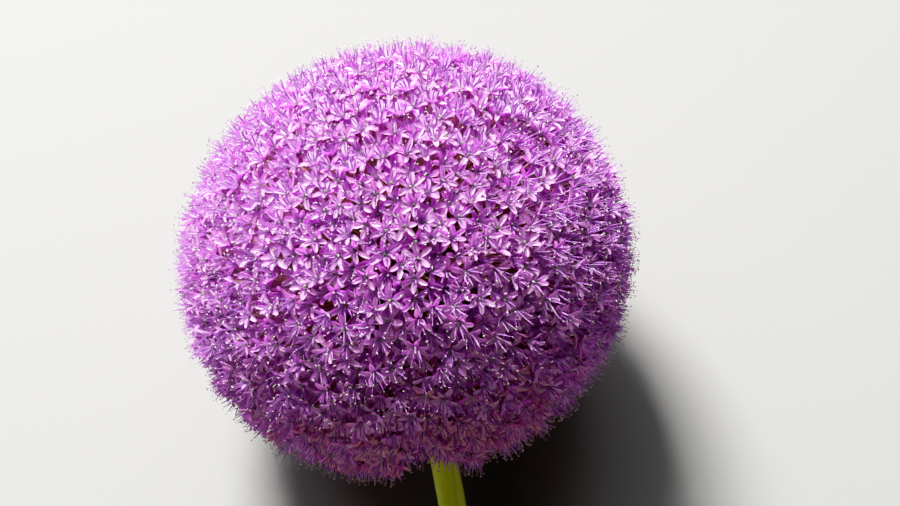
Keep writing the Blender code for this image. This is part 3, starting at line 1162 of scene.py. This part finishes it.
# A camera's response: the light that comes in, and how bright it is shown
BRIGHTEST = 2.0
RESPONSE = (
    (0.0, 0.0), (0.018, 0.003), (0.06, 0.030), (0.15, 0.096), (0.25, 0.176), (0.38, 0.28),
    (0.58, 0.405), (0.84, 0.56), (1.2, 0.73), (2.0, 0.97),
)


def add_floor():
    half = FLOOR_HALF
    corners = [(-half, -half, 0), (half, -half, 0), (half, half, 0), (-half, half, 0)]
    mesh = bpy.data.meshes.new("floor")
    mesh.from_pydata(corners, [], [(0, 1, 2, 3)])
    mesh.materials.append(floor_material())
    floor = bpy.data.objects.new("floor", mesh)
    bpy.context.scene.collection.objects.link(floor)


def add_area_light(name, way, distance, size, power, colour):
    """A square soft light at a distance from the head, along a way from it, aimed at it."""
    data = bpy.data.lights.new(name, "AREA")
    data.size = size
    data.energy = power
    data.color = colour
    light = bpy.data.objects.new(name, data)
    way = Vector(way).normalized()
    light.location = Vector(flower_middle()) + way * distance
    light.rotation_euler = way.to_track_quat("Z", "Y").to_euler()
    bpy.context.scene.collection.objects.link(light)


def along_flower(shares):
    """A way given as shares of across, crown and front."""
    return shares[0] * across_way() + shares[1] * crown_way() + shares[2] * front_way()


def add_lights():
    """A small bright key, a wide soft sky and a weak warm fill, low on the stem's side."""
    add_area_light(
        "key", along_flower(KEY_WAY), distance=3.0, size=1.0, power=715.0,
        colour=(1.0, 0.985, 0.945),
    )
    add_area_light(
        "sky", along_flower(SKY_WAY), distance=2.2, size=3.0, power=84.0,
        colour=(0.92, 0.95, 1.0),
    )
    add_area_light(
        "low_fill", LOW_FILL_WAY, distance=3.0, size=1.0, power=29.0,
        colour=(1.0, 0.95, 0.65),
    )
    bpy.context.scene.world = studio_world()


def studio_world():
    """Faint light from above, and a paler glow from the horizon down."""
    world = bpy.data.worlds.new("studio")
    world.use_nodes = True
    nodes, links = world.node_tree.nodes, world.node_tree.links
    place = nodes.new("ShaderNodeTexCoord")
    split = nodes.new("ShaderNodeSeparateXYZ")
    band = nodes.new("ShaderNodeMapRange")
    band.interpolation_type = "SMOOTHSTEP"
    band.inputs["From Min"].default_value = GLOW_BELOW
    band.inputs["From Max"].default_value = AMBIENT_ABOVE
    band.inputs["To Min"].default_value = GLOW
    band.inputs["To Max"].default_value = AMBIENT
    links.new(place.outputs["Generated"], split.inputs[0])
    links.new(split.outputs["Z"], band.inputs["Value"])
    links.new(band.outputs[0], nodes["Background"].inputs["Strength"])
    nodes["Background"].inputs["Color"].default_value = (1.0, 0.98, 0.97, 1)
    return world


def add_camera():
    """Looks at the front of the head, square to the stem, as a long lens does from a step away."""
    across, crown, front = Vector(across_way()), Vector(crown_way()), Vector(front_way())
    right = math.cos(CAMERA_ROLL) * across - math.sin(CAMERA_ROLL) * crown
    up = math.cos(CAMERA_ROLL) * crown + math.sin(CAMERA_ROLL) * across
    place = Vector(flower_middle()) + front * CAMERA_DISTANCE
    place += right * HEAD_LEFT_OF_CENTRE + up * HEAD_BELOW_CENTRE
    data = bpy.data.cameras.new("camera")
    data.lens = CAMERA_LENS
    data.sensor_width = CAMERA_SENSOR
    data.clip_start = CAMERA_CLIP_START
    camera = bpy.data.objects.new("camera", data)
    turn = Matrix((right, up, front)).transposed()
    camera.matrix_world = Matrix.Translation(place) @ turn.to_4x4()
    bpy.context.scene.collection.objects.link(camera)
    bpy.context.scene.camera = camera


def set_view():
    """Gives the view the response: a deep toe, and a soft shoulder up to the brightest light."""
    view = bpy.context.scene.view_settings
    view.view_transform = "Standard"
    view.use_curve_mapping = True
    mapping = view.curve_mapping
    mapping.white_level = (BRIGHTEST, BRIGHTEST, BRIGHTEST)
    points = mapping.curves[3].points
    while len(points) < len(RESPONSE):
        points.new(0.5, 0.5)
    for point, (light, shown) in zip(points, RESPONSE):
        point.location = (light / BRIGHTEST, shown)
    mapping.update()


# ---------------------------------------------------------------- the whole

def build_flower():
    draw = np.random.default_rng(SEED)
    florets = place_florets(draw)
    make_petals(florets, draw, petal_material())
    filament = filament_material()
    make_stamens(florets, draw, filament, anther_material())
    make_ovaries(florets, draw, ovary_material())
    make_styles(florets, draw, filament)
    make_pedicels(florets, draw, pedicel_material())
    make_knob(knob_material())
    make_stem(stem_material())


add_camera()
build_flower()
add_floor()
add_lights()
set_view()
